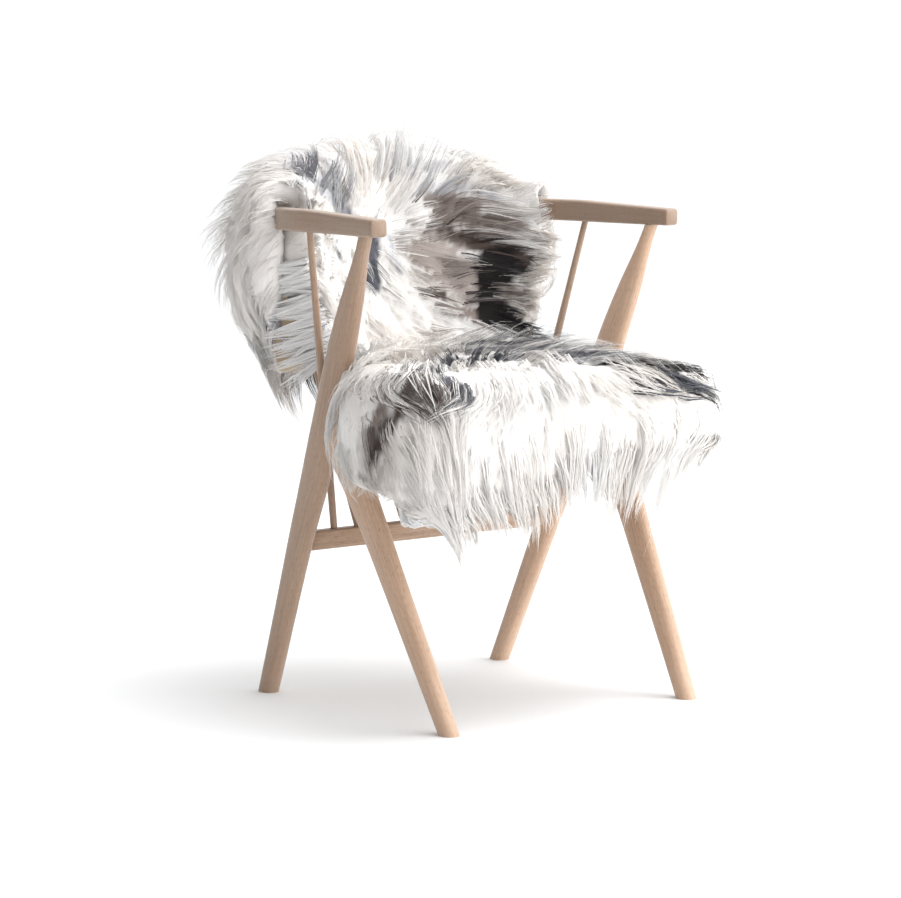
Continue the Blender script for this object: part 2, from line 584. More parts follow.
def under_wool():
    """The dense wool below the long hair. Fibres 0.9 mm wide lie along it, coarse enough to show."""
    made, tree = new_material("under_wool")
    tint = add_node(tree, "ShaderNodeAttribute", {"attribute_name": "tint"})
    comb = add_node(tree, "ShaderNodeAttribute", {"attribute_name": "comb"})
    fibres = add_node(tree, "ShaderNodeTexNoise", {"noise_dimensions": "3D"}, {
        "Vector": comb.outputs["Vector"],
        "Scale": 1.0,
        "Detail": 4.0,
        "Roughness": 0.6,
    })
    depth = add_node(tree, "ShaderNodeMapRange", inputs={
        "Value": fibres.outputs["Fac"],
        "From Min": 0.30,
        "From Max": 0.70,
        "To Min": 0.90,
        "To Max": 1.04,
    })
    colour = add_node(tree, "ShaderNodeVectorMath", {"operation": "SCALE"}, {
        0: tint.outputs["Color"],
        "Scale": depth.outputs["Result"],
    })
    bump = add_node(tree, "ShaderNodeBump", inputs={
        "Strength": 0.6,
        "Distance": 0.002,
        "Height": fibres.outputs["Fac"],
    })
    shader = add_node(tree, "ShaderNodeBsdfPrincipled", inputs={
        "Base Color": colour.outputs["Vector"],
        "Roughness": 0.75,
        "Specular IOR Level": 0.2,
        "Normal": bump.outputs["Normal"],
    })
    add_node(tree, "ShaderNodeOutputMaterial", inputs={"Surface": shader.outputs["BSDF"]})
    return made


SUEDE_PALE = "E6D9C6"
SUEDE_DEEP = "CDBBA3"
# Blotches 55 mm apart and nap 1.1 mm apart, coarser than real nap so that it shows: to the metre
SUEDE_BLOTCHES = 18.0
SUEDE_NAP = 900.0


def suede():
    """The flesh side of a tanned pelt: matt cream suede with a fine nap and faint blotches."""
    made, tree = new_material("suede")
    place = add_node(tree, "ShaderNodeTexCoord")
    blotches = add_node(tree, "ShaderNodeTexNoise", inputs={
        "Vector": place.outputs["Object"],
        "Scale": SUEDE_BLOTCHES,
        "Detail": 3.0,
    })
    nap = add_node(tree, "ShaderNodeTexNoise", inputs={
        "Vector": place.outputs["Object"],
        "Scale": SUEDE_NAP,
        "Detail": 2.0,
    })
    colour = add_node(tree, "ShaderNodeMix", {"data_type": "RGBA"}, {
        "Factor": blotches.outputs["Fac"],
        6: (*linear(SUEDE_PALE), 1.0),
        7: (*linear(SUEDE_DEEP), 1.0),
    })
    bump = add_node(tree, "ShaderNodeBump", inputs={
        "Strength": 0.4,
        "Distance": 0.0004,
        "Height": nap.outputs["Fac"],
    })
    shader = add_node(tree, "ShaderNodeBsdfPrincipled", inputs={
        "Base Color": colour.outputs[2],
        "Roughness": 0.9,
        "Specular IOR Level": 0.2,
        "Normal": bump.outputs["Normal"],
    })
    add_node(tree, "ShaderNodeOutputMaterial", inputs={"Surface": shader.outputs["BSDF"]})
    return made


# Oak's darker and paler grain lines with where each is full, its warmer patches and its pores
OAK_LINES = (("98826F", 0.30), ("B09884", 0.72))
OAK_WARM = "EEDFD3"
OAK_PORE = "7C6655"
# To the metre round a piece and along it: grain lines 2.4 mm apart and 110 mm long, and pores
# 0.7 mm apart, coarser than real ones so that they show, and 11 mm long
OAK_GRAIN = (420.0, 9.0, 1.0)
OAK_PORES = (1500.0, 90.0, 1.0)
# Warmer patches about 140 mm apart, to the metre
OAK_PATCHES = 7.0


def oak_pores(tree, place):
    """1 in the open pores of the oak and 0 between them."""
    pore_place = add_node(tree, "ShaderNodeVectorMath", {"operation": "MULTIPLY"}, {
        0: place.outputs["UV"],
        1: OAK_PORES,
    })
    pores = add_node(tree, "ShaderNodeTexNoise", inputs={
        "Vector": pore_place.outputs["Vector"],
        "Scale": 1.0,
        "Detail": 1.0,
    })
    mask = add_node(tree, "ShaderNodeMapRange", inputs={
        "Value": pores.outputs["Fac"],
        "From Min": 0.60,
        "From Max": 0.70,
    })
    return mask.outputs["Result"]


def oak_grain(tree, place):
    """The colour of the grain, with its darker and paler lines."""
    grain_place = add_node(tree, "ShaderNodeVectorMath", {"operation": "MULTIPLY"}, {
        0: place.outputs["UV"],
        1: OAK_GRAIN,
    })
    grain = add_node(tree, "ShaderNodeTexNoise", inputs={
        "Vector": grain_place.outputs["Vector"],
        "Scale": 1.0,
        "Detail": 4.0,
        "Roughness": 0.6,
        "Distortion": 0.4,
    })
    ramp = add_node(tree, "ShaderNodeValToRGB", inputs={"Fac": grain.outputs["Fac"]})
    for stop, (code, position) in zip(ramp.color_ramp.elements, OAK_LINES):
        stop.position = position
        stop.color = (*linear(code), 1.0)
    return ramp.outputs["Color"]


def soaped_oak():
    """Oak washed with soap: pale and matt, with fine straight grain and short open pores.

    It reads the piece's own UV map, in metres, with U round the piece and V along the grain, and
    how light its board is.
    """
    made, tree = new_material("pale_soaped_oak")
    place = add_node(tree, "ShaderNodeUVMap", {"uv_map": "grain"})
    where = add_node(tree, "ShaderNodeTexCoord")
    board = add_node(tree, "ShaderNodeAttribute", {"attribute_name": "board_tone"})
    patches = add_node(tree, "ShaderNodeTexNoise", inputs={
        "Vector": where.outputs["Object"],
        "Scale": OAK_PATCHES,
        "Detail": 2.0,
    })
    pores = oak_pores(tree, place)
    toned = add_node(tree, "ShaderNodeMix", {"data_type": "RGBA", "blend_type": "MULTIPLY"}, {
        "Factor": patches.outputs["Fac"],
        6: oak_grain(tree, place),
        7: (*linear(OAK_WARM), 1.0),
    })
    pored = add_node(tree, "ShaderNodeMix", {"data_type": "RGBA"}, {
        "Factor": pores,
        6: toned.outputs[2],
        7: (*linear(OAK_PORE), 1.0),
    })
    colour = add_node(tree, "ShaderNodeVectorMath", {"operation": "SCALE"}, {
        0: pored.outputs[2],
        "Scale": board.outputs["Fac"],
    })
    bump = add_node(tree, "ShaderNodeBump", {"invert": True}, {
        "Strength": 0.25,
        "Distance": 0.0003,
        "Height": pores,
    })
    shader = add_node(tree, "ShaderNodeBsdfPrincipled", inputs={
        "Base Color": colour.outputs["Vector"],
        "Roughness": 0.50,
        "Specular IOR Level": 0.45,
        "Sheen Weight": 0.30,
        "Sheen Roughness": 0.5,
        "Normal": bump.outputs["Normal"],
    })
    add_node(tree, "ShaderNodeOutputMaterial", inputs={"Surface": shader.outputs["BSDF"]})
    return made


def add_object(name, data):
    """An object in the scene that shows this data."""
    made = bpy.data.objects.new(name, data)
    bpy.context.scene.collection.objects.link(made)
    return made


def mesh_object(name, points, faces, material, smooth=True):
    """A mesh object made from arrays."""
    mesh = bpy.data.meshes.new(name)
    mesh.from_pydata(np.asarray(points).tolist(), [], faces)
    mesh.materials.append(material)
    if smooth:
        mesh.shade_smooth()
    return add_object(name, mesh)


def finished_mesh(piece):
    """A plain mesh of the piece as its modifiers leave it."""
    depsgraph = bpy.context.evaluated_depsgraph_get()
    return bpy.data.meshes.new_from_object(piece.evaluated_get(depsgraph))


ATTRIBUTE_FIELDS = {"FLOAT": "value", "FLOAT_VECTOR": "vector", "FLOAT_COLOR": "color"}


def set_attribute(mesh, name, kind, values):
    """Stores one value for each vertex."""
    layer = mesh.attributes.new(name, kind, "POINT")
    layer.data.foreach_set(ATTRIBUTE_FIELDS[kind], np.asarray(values, dtype=np.float32).ravel())


def set_tint(mesh, colours):
    """Stores a linear colour for each vertex."""
    set_attribute(mesh, "tint", "FLOAT_COLOR", np.column_stack((colours, np.ones(len(colours)))))


# The hide: its thickness and its steps across and along
PELT_THICKNESS = 0.0022
PELT_ACROSS = 40
PELT_ALONG = 100


def closed_sheet(low, high):
    """Vertices and faces of a closed body between two grids of points."""
    rows, columns = low.shape[:2]
    points = np.concatenate((low.reshape(-1, 3), high.reshape(-1, 3)))
    count = rows * columns
    faces = []
    for j in range(rows - 1):
        for i in range(columns - 1):
            a = j * columns + i
            b, c, d = a + 1, a + columns + 1, a + columns
            faces.append((count + a, count + b, count + c, count + d))
            faces.append((d, c, b, a))
    rim = list(range(columns))
    rim += [j * columns + columns - 1 for j in range(1, rows)]
    rim += [(rows - 1) * columns + i for i in range(columns - 2, -1, -1)]
    rim += [j * columns for j in range(rows - 2, 0, -1)]
    for a, b in zip(rim, rim[1:] + rim[:1]):
        faces.append((a, b, count + b, count + a))
    return points, faces


def faced_out(made):
    """Turns the faces of a closed mesh outwards."""
    bm = bmesh.new()
    bm.from_mesh(made.data)
    bmesh.ops.recalc_face_normals(bm, faces=bm.faces)
    bm.to_mesh(made.data)
    bm.free()
    return made


def make_pelt():
    """The tanned hide, a sheet of even thickness."""
    u, v = np.meshgrid(np.linspace(-1, 1, PELT_ACROSS + 1), np.linspace(0, 1, PELT_ALONG + 1))
    flesh = sample(PELT, u, v)
    way = unit(sample(TIPS, u, v) - flesh)
    points, faces = closed_sheet(flesh, flesh + way * PELT_THICKNESS)
    return faced_out(mesh_object("pelt", points, faces, suede()))


# The dense wool's steps across and along, and how far it runs on past the side edges: in steps,
# and as a share of the half width
UNDER_ACROSS = 88
UNDER_ALONG = 170
UNDER_PAST = 5
UNDER_OVERHANG = 0.24
# Where it starts and ends, as shares of the wool's depth
UNDER_FLOOR = 0.045
UNDER_SHARE = 0.64
# Locks and ridges on it: height as such a share, width, and length each way
UNDER_LOCKS = (0.08, 0.022, 0.030)
UNDER_RIDGES = (0.06, 0.008, 0.016)
# What is left of it at a hem, over what length it thins out there and how steeply at the end, and
# what it loses at the sides
UNDER_HEM = 0.25
UNDER_HEM_LENGTH = 0.030
UNDER_HEM_CURVE = 0.6
UNDER_SIDE_LOSS = 0.35
UNDER_SEED = 9
# A little darker than the hair that stands on it
UNDER_LIGHT = 0.99
# Its fibres: the width of a light and a dark one together, their length, and how fast their
# pattern changes across the skin
FIBRE_PAIR = 0.0018
FIBRE_LENGTH = 0.030
FIBRE_CHANGE = 3


def under_shares(u, v):
    """Where the dense wool ends at each place: in locks and ridges, and thinner at its edges."""
    lock_height, lock_width, lock_run = UNDER_LOCKS
    ridge_height, ridge_width, ridge_run = UNDER_RIDGES
    locks = streaks(u, v, UNDER_SEED + 1, lock_width, lock_run)
    ridges = streaks(u, v, UNDER_SEED, ridge_width, ridge_run)
    share = UNDER_SHARE + lock_height * locks + ridge_height * ridges
    hem = np.minimum(v, 1 - v) * PELT_LENGTH
    share *= UNDER_HEM + (1 - UNDER_HEM) * np.clip(hem / UNDER_HEM_LENGTH, 0, 1) ** UNDER_HEM_CURVE
    return share * (1 - UNDER_SIDE_LOSS * np.clip((abs(u) - 1) / UNDER_OVERHANG, 0, 1))


def fibre_places(u, v):
    """Where each place lies in the pattern of fibres, which run the way the wool is combed."""
    way, place = combing(u, v, 0.0), laid_flat(u, v)
    aside = way[:, 1] * place[:, 0] - way[:, 0] * place[:, 1]
    ahead = way[:, 0] * place[:, 0] + way[:, 1] * place[:, 1]
    return np.column_stack((aside / FIBRE_PAIR, ahead / FIBRE_LENGTH, u * FIBRE_CHANGE))


def make_under_wool():
    """The dense wool under the long hair: it fills the skin's form up to where single hairs part."""
    past = np.linspace(0, UNDER_OVERHANG, UNDER_PAST + 1)[1:]
    across = np.concatenate((-1 - past[::-1], np.linspace(-1, 1, UNDER_ACROSS + 1), 1 + past))
    u, v = np.meshgrid(across, np.linspace(0, 1, UNDER_ALONG + 1))
    flat_u, flat_v = u.ravel(), v.ravel()
    low = in_wool(u, v, np.full_like(u, UNDER_FLOOR))
    high = in_wool(u, v, under_shares(flat_u, flat_v).reshape(u.shape))
    points, faces = closed_sheet(low, high)
    made = mesh_object("under_wool", points, faces, under_wool())
    set_tint(made.data, np.tile(fleece_colour(flat_u, flat_v) * UNDER_LIGHT, (2, 1)))
    set_attribute(made.data, "comb", "FLOAT_VECTOR", np.tile(fibre_places(flat_u, flat_v), (2, 1)))
    return faced_out(made)


# Points on a guide line, and strands round it
GUIDE_POINTS = 6
HAIRS_ROUND_A_LINE = 3
# A strand's section is a triangle, wider than it is deep, and its flat side lies on the fleece
HAIR_SIDES = 3
HAIR_SECTION = (0.25, 1.20, 1.0)
# Strands differ in length, thickness and shade: the least and most, as shares
HAIR_LENGTHS = (0.72, 1.0)
HAIR_THICKNESSES = (0.6, 1.4)
HAIR_SHADES = (0.97, 1.02)
# What is added to a piece's seed for its strands' lengths, places, thicknesses and shades
LENGTH_SEED, PLACE_SEED, THICKNESS_SEED, SHADE_SEED = 0.0, 7.0, 13.0, 23.0
# From how far along it a strand tapers, and down to what share of its radius
TAPER_START = 0.25
TIP_RADIUS = 0.22


def hair_inputs(tree):
    """Gives the inputs' identifiers and their values' sockets."""
    identifiers = {}
    for name, kind in (
        ("Guides", "NodeSocketGeometry"),
        ("Hairs", "NodeSocketInt"),
        ("Lock radius", "NodeSocketFloat"),
        ("Hair radius", "NodeSocketFloat"),
        ("Gather", "NodeSocketFloat"),
        ("Seed", "NodeSocketInt"),
        ("Material", "NodeSocketMaterial"),
    ):
        made = tree.interface.new_socket(name, in_out="INPUT", socket_type=kind)
        identifiers[name] = made.identifier
    tree.interface.new_socket("Locks", in_out="OUTPUT", socket_type="NodeSocketGeometry")
    return identifiers, add_node(tree, "NodeGroupInput").outputs


def vary_strands(tree, given, seed_step, least, most):
    """A random number, or vector, for each strand, the same all along it."""
    kind, first, result = ("FLOAT", 2, 1) if isinstance(least, float) else ("FLOAT_VECTOR", 0, 0)
    number = add_node(tree, "GeometryNodeInputIndex")
    seed = add_node(tree, "ShaderNodeMath", {"operation": "ADD"}, {0: given["Seed"], 1: seed_step})
    value = add_node(tree, "FunctionNodeRandomValue", {"data_type": kind}, {
        first: least,
        first + 1: most,
        "ID": number.outputs["Index"],
        "Seed": seed.outputs["Value"],
    })
    each = add_node(
        tree, "GeometryNodeFieldOnDomain", {"data_type": kind, "domain": "CURVE"},
        {0: value.outputs[result]},
    )
    return each.outputs[0]


def cut_strands(tree, given):
    """Copies of each guide line, cut to different lengths."""
    guides = add_node(tree, "GeometryNodeMeshToCurve", inputs={"Mesh": given["Guides"]})
    copies = add_node(tree, "GeometryNodeDuplicateElements", {"domain": "SPLINE"}, {
        "Geometry": guides.outputs["Curve"],
        "Amount": given["Hairs"],
    })
    cut = add_node(tree, "GeometryNodeTrimCurve", inputs={
        "Curve": copies.outputs["Geometry"],
        "Start": 0.0,
        "End": vary_strands(tree, given, LENGTH_SEED, *HAIR_LENGTHS),
    })
    return cut.outputs["Curve"]


def spread_strands(tree, given, strands, along):
    """Moves the strands of a lock apart, less and less towards its tip, where they gather."""
    gathered = add_node(tree, "ShaderNodeMath", {"operation": "MULTIPLY"}, {0: along, 1: given["Gather"]})
    open_part = add_node(tree, "ShaderNodeMath", {"operation": "SUBTRACT"}, {0: 1.0, 1: gathered.outputs[0]})
    width = add_node(tree, "ShaderNodeMath", {"operation": "MULTIPLY"}, {
        0: open_part.outputs["Value"],
        1: given["Lock radius"],
    })
    aside = add_node(tree, "ShaderNodeVectorMath", {"operation": "SCALE"}, {
        0: vary_strands(tree, given, PLACE_SEED, (-1.0, -1.0, -1.0), (1.0, 1.0, 1.0)),
        "Scale": width.outputs["Value"],
    })
    spread = add_node(tree, "GeometryNodeSetPosition", inputs={
        "Geometry": strands,
        "Offset": aside.outputs["Vector"],
    })
    return spread.outputs["Geometry"]


def shade_strands(tree, given, strands):
    """Keeps the guide lines' colour on the strands, a little lighter or darker on each."""
    tint = add_node(tree, "GeometryNodeInputNamedAttribute", {"data_type": "FLOAT_COLOR"}, {"Name": "tint"})
    shaded = add_node(tree, "ShaderNodeVectorMath", {"operation": "SCALE"}, {
        0: tint.outputs[0],
        "Scale": vary_strands(tree, given, SHADE_SEED, *HAIR_SHADES),
    })
    kept = add_node(
        tree, "GeometryNodeStoreNamedAttribute", {"data_type": "FLOAT_COLOR", "domain": "POINT"},
        {"Geometry": strands, "Name": "tint", "Value": shaded.outputs["Vector"]},
    )
    return kept.outputs["Geometry"]


def strand_radius(tree, given, along):
    """A strand's radius, which tapers to its tip."""
    taper = add_node(tree, "ShaderNodeMapRange", inputs={
        "Value": along,
        "From Min": TAPER_START,
        "From Max": 1.0,
        "To Min": 1.0,
        "To Max": TIP_RADIUS,
    })
    tapered = add_node(tree, "ShaderNodeMath", {"operation": "MULTIPLY"}, {
        0: taper.outputs["Result"],
        1: vary_strands(tree, given, THICKNESS_SEED, *HAIR_THICKNESSES),
    })
    radius = add_node(tree, "ShaderNodeMath", {"operation": "MULTIPLY"}, {
        0: tapered.outputs["Value"],
        1: given["Hair radius"],
    })
    return radius.outputs["Value"]


def strand_tubes(tree, strands, radius):
    """Flat-sided tubes along the strands, turned to face outwards from the skin."""
    outward = add_node(
        tree, "GeometryNodeInputNamedAttribute", {"data_type": "FLOAT_VECTOR"}, {"Name": "outward"},
    )
    turned = add_node(tree, "GeometryNodeSetCurveNormal", {"mode": "FREE"}, {
        "Curve": strands,
        "Normal": outward.outputs[0],
    })
    circle = add_node(tree, "GeometryNodeCurvePrimitiveCircle", inputs={
        "Resolution": HAIR_SIDES,
        "Radius": 1.0,
    })
    section = add_node(tree, "GeometryNodeTransform", inputs={
        "Geometry": circle.outputs["Curve"],
        "Scale": HAIR_SECTION,
    })
    tubes = add_node(tree, "GeometryNodeCurveToMesh", inputs={
        "Curve": turned.outputs["Curve"],
        "Profile Curve": section.outputs["Geometry"],
        "Scale": radius,
        "Fill Caps": True,
    })
    flat_sided = add_node(tree, "GeometryNodeSetShadeSmooth", inputs={
        "Geometry": tubes.outputs["Mesh"],
        "Shade Smooth": False,
    })
    return flat_sided.outputs["Geometry"]


def hair_tree():
    """Grows a pointed lock of strands round each guide line."""
    tree = bpy.data.node_groups.new("lock_of_hair", "GeometryNodeTree")
    identifiers, given = hair_inputs(tree)
    along = add_node(tree, "GeometryNodeSplineParameter").outputs["Factor"]
    strands = spread_strands(tree, given, cut_strands(tree, given), along)
    strands = shade_strands(tree, given, strands)
    tubes = strand_tubes(tree, strands, strand_radius(tree, given, along))
    real = add_node(tree, "GeometryNodeRealizeInstances", inputs={"Geometry": tubes})
    dressed = add_node(tree, "GeometryNodeSetMaterial", inputs={
        "Geometry": real.outputs["Geometry"],
        "Material": given["Material"],
    })
    add_node(tree, "NodeGroupOutput", inputs={0: dressed.outputs["Geometry"]})
    return tree, identifiers


HAIR_TREE, HAIR_INPUTS = hair_tree()
FIBRE = wool_fibre()


def guide_object(name, guides, outward, tint):
    """An object of bare lines that hold their colour and the way out from the skin."""
    count, steps = guides.shape[:2]
    mesh = bpy.data.meshes.new(name)
    first = np.arange(count)[:, None] * steps + np.arange(steps - 1)[None, :]
    edges = np.stack((first, first + 1), axis=-1).reshape(-1, 2)
    mesh.from_pydata(guides.reshape(-1, 3).tolist(), edges.tolist(), [])
    set_tint(mesh, tint.reshape(-1, 3))
    set_attribute(mesh, "outward", "FLOAT_VECTOR", outward)
    return add_object(name + "_guides", mesh)


def grow(name, guides, lock_radius, hair_radius, gather, seed):
    """Turns guide lines, given with their outward ways and colours, into a mesh of locks.

    gather is the share of its width that a lock loses from its root to its tip.
    """
    lines = guide_object(name, *guides)
    growth = lines.modifiers.new("growth", "NODES")
    growth.node_group = HAIR_TREE
    growth[HAIR_INPUTS["Hairs"]] = HAIRS_ROUND_A_LINE
    growth[HAIR_INPUTS["Lock radius"]] = lock_radius
    growth[HAIR_INPUTS["Hair radius"]] = hair_radius
    growth[HAIR_INPUTS["Gather"]] = gather
    growth[HAIR_INPUTS["Seed"]] = seed
    growth[HAIR_INPUTS["Material"]] = FIBRE
    grown = finished_mesh(lines)
    grown.name = name
    lines.modifiers.remove(growth)
    bpy.data.objects.remove(lines, do_unlink=True)
    return add_object(name, grown)


# How long the wool is along the skin, as a share of its length on the back
LENGTH_PLACES = (0.00, 0.08, 0.16, 0.30, 0.50, 0.70, 0.78, 0.90, 1.00)
LENGTH_SHARES = (1.15, 1.40, 1.30, 0.95, 0.95, 0.90, 0.90, 1.15, 1.10)
# How far out its tips lie, as a share of the wool's depth
HEIGHT_PLACES = (0.00, 0.10, 0.30, 0.70, 0.74, 0.79, 0.83, 0.94, 1.00)
HEIGHT_SHARES = (0.96, 0.97, 1.00, 1.00, 1.10, 1.12, 1.06, 1.04, 1.00)
# How far it hangs past each hem, across the skin
REACH_PLACES = (-1.00, -0.80, -0.50, -0.35, -0.20, 0.00, 0.20, 0.60, 0.72, 0.82, 0.92, 1.00)
FRONT_REACHES = (0.060, 0.074, 0.056, 0.048, 0.070, 0.105, 0.080, 0.070, 0.066, 0.050, 0.022, 0.005)
BACK_REACHES = (0.044, 0.046, 0.054, 0.056, 0.054, 0.048, 0.042, 0.036, 0.036, 0.036, 0.030, 0.030)
# Where it stands higher or lies flatter: place across and along, reach that way, how much
UNEVEN = (
    (0.38, 0.765, 0.22, 0.035, 0.18),
    (-0.85, 0.785, 0.28, 0.030, -0.28),
    (-0.90, 0.840, 0.25, 0.030, 0.16),
    (-0.80, 0.925, 0.35, 0.045, -0.24),
    (0.95, 0.760, 0.22, 0.050, -0.24),
    (1.02, 0.085, 0.36, 0.070, -0.48),
    (-0.98, 0.350, 0.22, 0.070, 0.40),
)


def tip_share(u, v):
    """How far out the wool's tips lie at each place, as a share of its depth."""
    share = np.interp(v, HEIGHT_PLACES, HEIGHT_SHARES)
    for across, along, wide, long, amount in UNEVEN:
        share += amount * np.exp(-(((u - across) / wide) ** 2) - ((v - along) / long) ** 2)
    return share


# The least share of its length that a hair has, and how much more it may have; the same for how
# far it reaches past a hem, and for how far it is drawn into its lock
LENGTH_RANGE = (0.8, 0.4)
REACH_RANGE = (0.7, 0.6)
PULL_RANGE = (0.7, 0.3)
# Hairs that run along a hem still count as running at least this much towards it
LEAST_SLANT = 0.2
# Tips lie higher or lower by about this share, at most so many times it, and hairs that stick out
# end up to this much higher
TIP_SPREAD = 0.04
TIP_LIMIT = 1.5
STICK_OUT = 0.22
# A short step further out in the wool, which shows the way out from the skin
OUTWARD_STEP = 0.05
# A hair runs ahead slowly at first and rises fast at first
RUN_CURVE = 1.35
RISE_CURVE = 1.9
# Where along a hair the place is whose colour it has
COLOUR_PLACE = 0.55


def vary(rng, count, least, more):
    """Random numbers from least to least + more."""
    return least + more * rng.random(count)


def hair_lengths(u, v, way, along, length, rng):
    """Lengths of the hairs rooted at (u, v), cut short where they would reach too far past a hem."""
    full = length * vary(rng, len(u), *LENGTH_RANGE) * np.interp(v, LENGTH_PLACES, LENGTH_SHARES)
    forward = way[:, 1] < 0
    to_hem = np.where(forward, v, 1 - v) * along / np.maximum(abs(way[:, 1]), LEAST_SLANT)
    front, back = (np.interp(u, REACH_PLACES, reaches) for reaches in (FRONT_REACHES, BACK_REACHES))
    return np.minimum(full, to_hem + np.where(forward, front, back) * vary(rng, len(u), *REACH_RANGE))


def guide_lines(u, v, seed, length, rise, stand, way=None):
    """Lines rooted at (u, v) that bend over the way the wool is combed, and lie along the skin.

    rise is where they start and end, as shares of the wool's depth, and stand the share of them
    that stick out. way, where given, is the way they point instead. Also gives their outward ways
    and the places whose colour they have.
    """
    rng = np.random.default_rng(seed)
    count = len(u)
    way = combing(u, v) if way is None else way
    across = np.linalg.norm(sample(ACROSS, u, v), axis=-1)
    along = np.linalg.norm(sample(ALONG, u, v), axis=-1)
    full = hair_lengths(u, v, way, along, length, rng)
    low, high = rise
    high = high * tip_share(u, v) + TIP_SPREAD * rng.standard_normal(count).clip(-TIP_LIMIT, TIP_LIMIT)
    high += np.where(rng.random(count) < stand, STICK_OUT * rng.random(count), 0.0)

    def place(ahead):
        return u + way[:, 0] * ahead / across, v + way[:, 1] * ahead / along

    lines, outward = [], []
    for t in np.linspace(0, 1, GUIDE_POINTS):
        here = place(full * t**RUN_CURVE)
        share = low + (high - low) * (1 - (1 - t) ** RISE_CURVE)
        lines.append(in_wool(*here, share))
        outward.append(unit(in_wool(*here, share + OUTWARD_STEP) - lines[-1]))
    return np.stack(lines, axis=1), np.stack(outward, axis=1), place(COLOUR_PLACE * full)


# The fleece's locks: how many, their seed, where they start as a share of the wool's depth, how
# strongly a hair is drawn to its lock's middle line, and how that grows towards its tip
LOCK_COUNT = 620
LOCK_SEED = 11
LOCK_START = 0.25
LOCK_PULL = 0.72
LOCK_PULL_CURVE = 1.3
# How bright a hair is at its root: the least, and how much more it may be. And how fast it clears
# towards its tip.
ROOT_LIGHT = (0.94, 0.05)
ROOT_CLEARS = 1.8


@functools.lru_cache(maxsize=None)
def lock_centres(length, high):
    """The middle lines of the fleece's locks, and the places where they are rooted."""
    u, v = scatter(LOCK_COUNT, LOCK_SEED)
    return u, v, guide_lines(u, v, LOCK_SEED + 1, length, (LOCK_START, high), 0.0)[0]


def lock_guides(u, v, seed, length, rise, stand):
    """Guide lines of hairs rooted at (u, v), drawn together in locks, and their colours."""
    rng = np.random.default_rng(seed + 1)
    lines, outward, seen_at = guide_lines(u, v, seed, length, rise, stand)
    centre_u, centre_v, centres = lock_centres(length, rise[1])
    across = (u[:, None] - centre_u) ** 2 * PELT_HALF_WIDTH**2
    along = (v[:, None] - centre_v) ** 2 * PELT_LENGTH**2
    nearest = np.argmin(across + along, axis=1)
    t = np.linspace(0, 1, GUIDE_POINTS)[None, :, None]
    held = LOCK_PULL * vary(rng, len(u), *PULL_RANGE)[:, None, None] * t**LOCK_PULL_CURVE
    lines = lines + (centres[nearest] - lines) * held
    root = vary(rng, len(u), *ROOT_LIGHT)[:, None]
    light = root + (1 - root) * np.minimum(t[:, :, 0] * ROOT_CLEARS, 1.0)
    return lines, outward, fleece_colour(*seen_at)[:, None, :] * light[:, :, None]


# Coats over the whole skin: name, hairs, seed, their length, where they start and end as shares of
# the wool's depth, the share that stick out, then the radius of a lock and of a strand
COATS = (
    ("inner_coat", 1980, 21, 0.062, (0.22, 0.86), 0.00, 0.0050, 0.00090),
    ("outer_coat_a", 2040, 33, 0.072, (0.26, 0.97), 0.02, 0.0045, 0.00072),
    ("outer_coat_b", 2040, 47, 0.078, (0.28, 1.00), 0.03, 0.0040, 0.00062),
)
COAT_GATHER = 0.75
# Hairs at the hems: count, seed, and the corners of their strip
HEM_STRIPS = (
    (300, 61, (-1.0, 0.0), (1.0, 0.04)),
    (300, 62, (-1.0, 0.965), (1.0, 1.0)),
)
# Hairs at each side edge: count, for each side its sign and seed, and where they begin along it and
# how far on they go. They start inside the edge and stand out past it, less near the front hem.
SIDE_HAIRS = 560
SIDES = ((-1, 65), (1, 66))
SIDE_RUN = (0.005, 0.99)
SIDE_START = 0.95
SIDE_OUT = 0.27
SIDE_OUT_LOSS = 0.17
SIDE_LOSS_LENGTH = 0.08
# The rims' hairs: seed, length, where they start and end as shares of the wool's depth
RIM_SEED = 71
RIM_LENGTH = 0.045
RIM_RISE = (0.25, 0.98)
# Radius of a lock and of a strand, gather and seed, for the rims' locks and for the long locks
RIM_LOCK = (0.0045, 0.0007, 0.85, RIM_SEED)
LONG_LOCK = (0.0035, 0.0008, 0.80, 83)


def rim_places():
    """Where the hairs of the rims are rooted: at both hems and along both side edges."""
    rims = [scatter(*strip) for strip in HEM_STRIPS]
    for side, seed in SIDES:
        rng = np.random.default_rng(seed)
        v = vary(rng, SIDE_HAIRS, *SIDE_RUN)
        out = SIDE_OUT - SIDE_OUT_LOSS * np.exp(-((v / SIDE_LOSS_LENGTH) ** 2))
        rims.append((side * (SIDE_START + out * rng.random(SIDE_HAIRS)), v))
    return (np.concatenate(values) for values in zip(*rims))


def make_hair():
    """The long hair in pieces: coats over the whole skin, and longer locks at its rims."""
    made = []
    for name, count, seed, length, rise, stand, lock_radius, hair_radius in COATS:
        guides = lock_guides(*scatter(count, seed), seed, length, rise, stand)
        made.append(grow(name, guides, lock_radius, hair_radius, COAT_GATHER, seed))
    guides = lock_guides(*rim_places(), RIM_SEED, RIM_LENGTH, RIM_RISE, 0.0)
    made.append(grow("rim_locks", guides, *RIM_LOCK))
    made.append(grow("long_locks", special_locks(), *LONG_LOCK))
    return made


